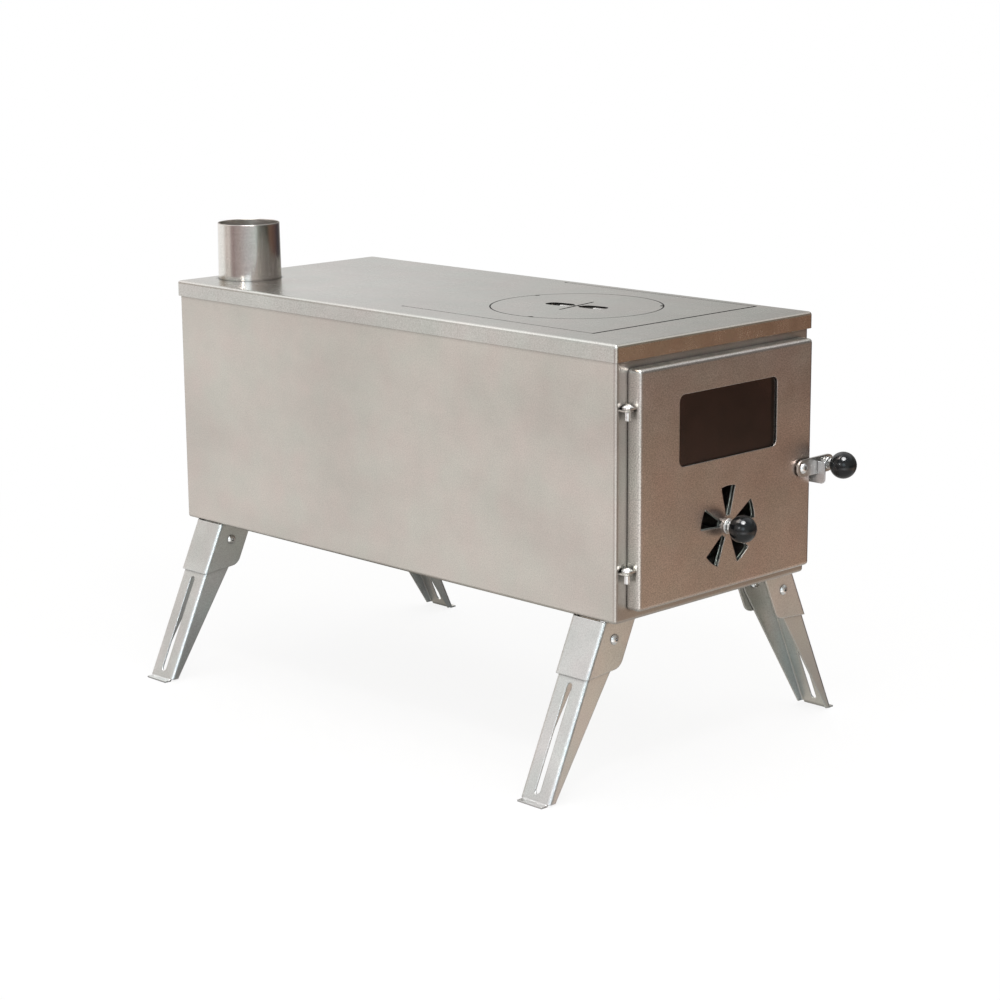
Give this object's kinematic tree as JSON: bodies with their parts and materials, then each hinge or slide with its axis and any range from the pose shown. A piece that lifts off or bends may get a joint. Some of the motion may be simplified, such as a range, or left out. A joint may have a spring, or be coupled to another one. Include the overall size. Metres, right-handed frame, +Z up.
{
  "type": "camping wood stove",
  "caption": "Folded-sheet tent stove with a glazed, bottom-vented door, ball-knob latch, lift-off round hotplate, flue collar and folding slotted legs.",
  "frame": {"origin": "bottom centre of the bounding box, on the ground between the feet", "axes": "+Z up; the door faces -Y and the long side lies along Y; hinges on the -X side, latch on the +X side"},
  "size_m": [0.4044, 0.6444, 0.452],
  "materials": {
    "satin_steel": "satin, warm grey",
    "plate_steel": "satin, neutral grey",
    "fire_steel": "dull, inside the fire",
    "bright_steel": "bright",
    "black_phenolic": "gloss",
    "door_glass": "smoked, clear gloss"
  },
  "bodies": {
    "stove": {"body_shell": "satin_steel", "rear_panel": "satin_steel", "top_cover": "plate_steel", "hotplate_ledge": "fire_steel", "flue_collar": "satin_steel", "fire_grate": "fire_steel", "hinge_pin_lower": "bright_steel", "hinge_pin_upper": "bright_steel", "latch_catch": "satin_steel", "leg_bracket_front_left": "satin_steel", "leg_bracket_front_right": "satin_steel", "leg_bracket_rear_left": "satin_steel", "leg_bracket_rear_right": "satin_steel", "leg_screw_front_left_front": "bright_steel", "leg_screw_front_left_rear": "bright_steel", "leg_screw_front_right_front": "bright_steel", "leg_screw_front_right_rear": "bright_steel", "leg_screw_rear_left_front": "bright_steel", "leg_screw_rear_left_rear": "bright_steel", "leg_screw_rear_right_front": "bright_steel", "leg_screw_rear_right_rear": "bright_steel", "leg_nut_front_left_front": "bright_steel", "leg_nut_front_left_rear": "bright_steel", "leg_nut_front_right_front": "bright_steel", "leg_nut_front_right_rear": "bright_steel", "leg_nut_rear_left_front": "bright_steel", "leg_nut_rear_left_rear": "bright_steel", "leg_nut_rear_right_front": "bright_steel", "leg_nut_rear_right_rear": "bright_steel"},
    "hotplate": {"hotplate": "plate_steel"},
    "door": {"door_pan": "satin_steel", "window_glass": "door_glass", "glass_retainer": "satin_steel", "latch_spacer": "bright_steel", "latch_pivot_screw": "bright_steel", "latch_pivot_nut": "bright_steel"},
    "damper": {"damper_disc": "satin_steel", "damper_spindle": "bright_steel", "damper_spacer": "bright_steel", "damper_washer": "bright_steel", "damper_nut": "bright_steel", "damper_knob": "black_phenolic"},
    "latch_handle": {"latch_bar": "satin_steel", "latch_knob_stem": "bright_steel", "latch_knob_washer": "bright_steel", "latch_knob_nut": "bright_steel", "latch_knob": "black_phenolic"},
    "leg_front_left": {"leg_front_left": "satin_steel"},
    "leg_front_right": {"leg_front_right": "satin_steel"},
    "leg_rear_left": {"leg_rear_left": "satin_steel"},
    "leg_rear_right": {"leg_rear_right": "satin_steel"}
  },
  "joints": [
    {"name": "door_hinge", "type": "hinge", "parent": "stove", "child": "door", "pos_m": [-0.1205, -0.28017, 0.163], "axis": [0, 0, -1], "range_deg": [0, 140]},
    {"name": "latch_pivot", "type": "hinge", "parent": "door", "child": "latch_handle", "pos_m": [0.1032, -0.29257, 0.2565], "axis": [0, -1, 0], "range_deg": [0, 110]},
    {"name": "damper_spin", "type": "hinge", "parent": "door", "child": "damper", "pos_m": [0.002, -0.28907, 0.2196], "axis": [0, -1, 0], "continuous": true},
    {"name": "hotplate_lift", "type": "slide", "parent": "stove", "child": "hotplate", "axis": [0, 0, 1], "range_m": [0, 0.06]},
    {"name": "leg_fold_front_left", "type": "hinge", "parent": "stove", "child": "leg_front_left", "pos_m": [-0.116, -0.24227, 0.1345], "axis": [0, -1, 0], "range_deg": [0, 115]},
    {"name": "leg_fold_front_right", "type": "hinge", "parent": "stove", "child": "leg_front_right", "pos_m": [0.116, -0.24227, 0.1345], "axis": [0, 1, 0], "range_deg": [0, 90]},
    {"name": "leg_fold_rear_left", "type": "hinge", "parent": "stove", "child": "leg_rear_left", "pos_m": [-0.116, 0.28713, 0.1345], "axis": [0, -1, 0], "range_deg": [0, 115]},
    {"name": "leg_fold_rear_right", "type": "hinge", "parent": "stove", "child": "leg_rear_right", "pos_m": [0.116, 0.28713, 0.1345], "axis": [0, 1, 0], "range_deg": [0, 90]}
  ]
}
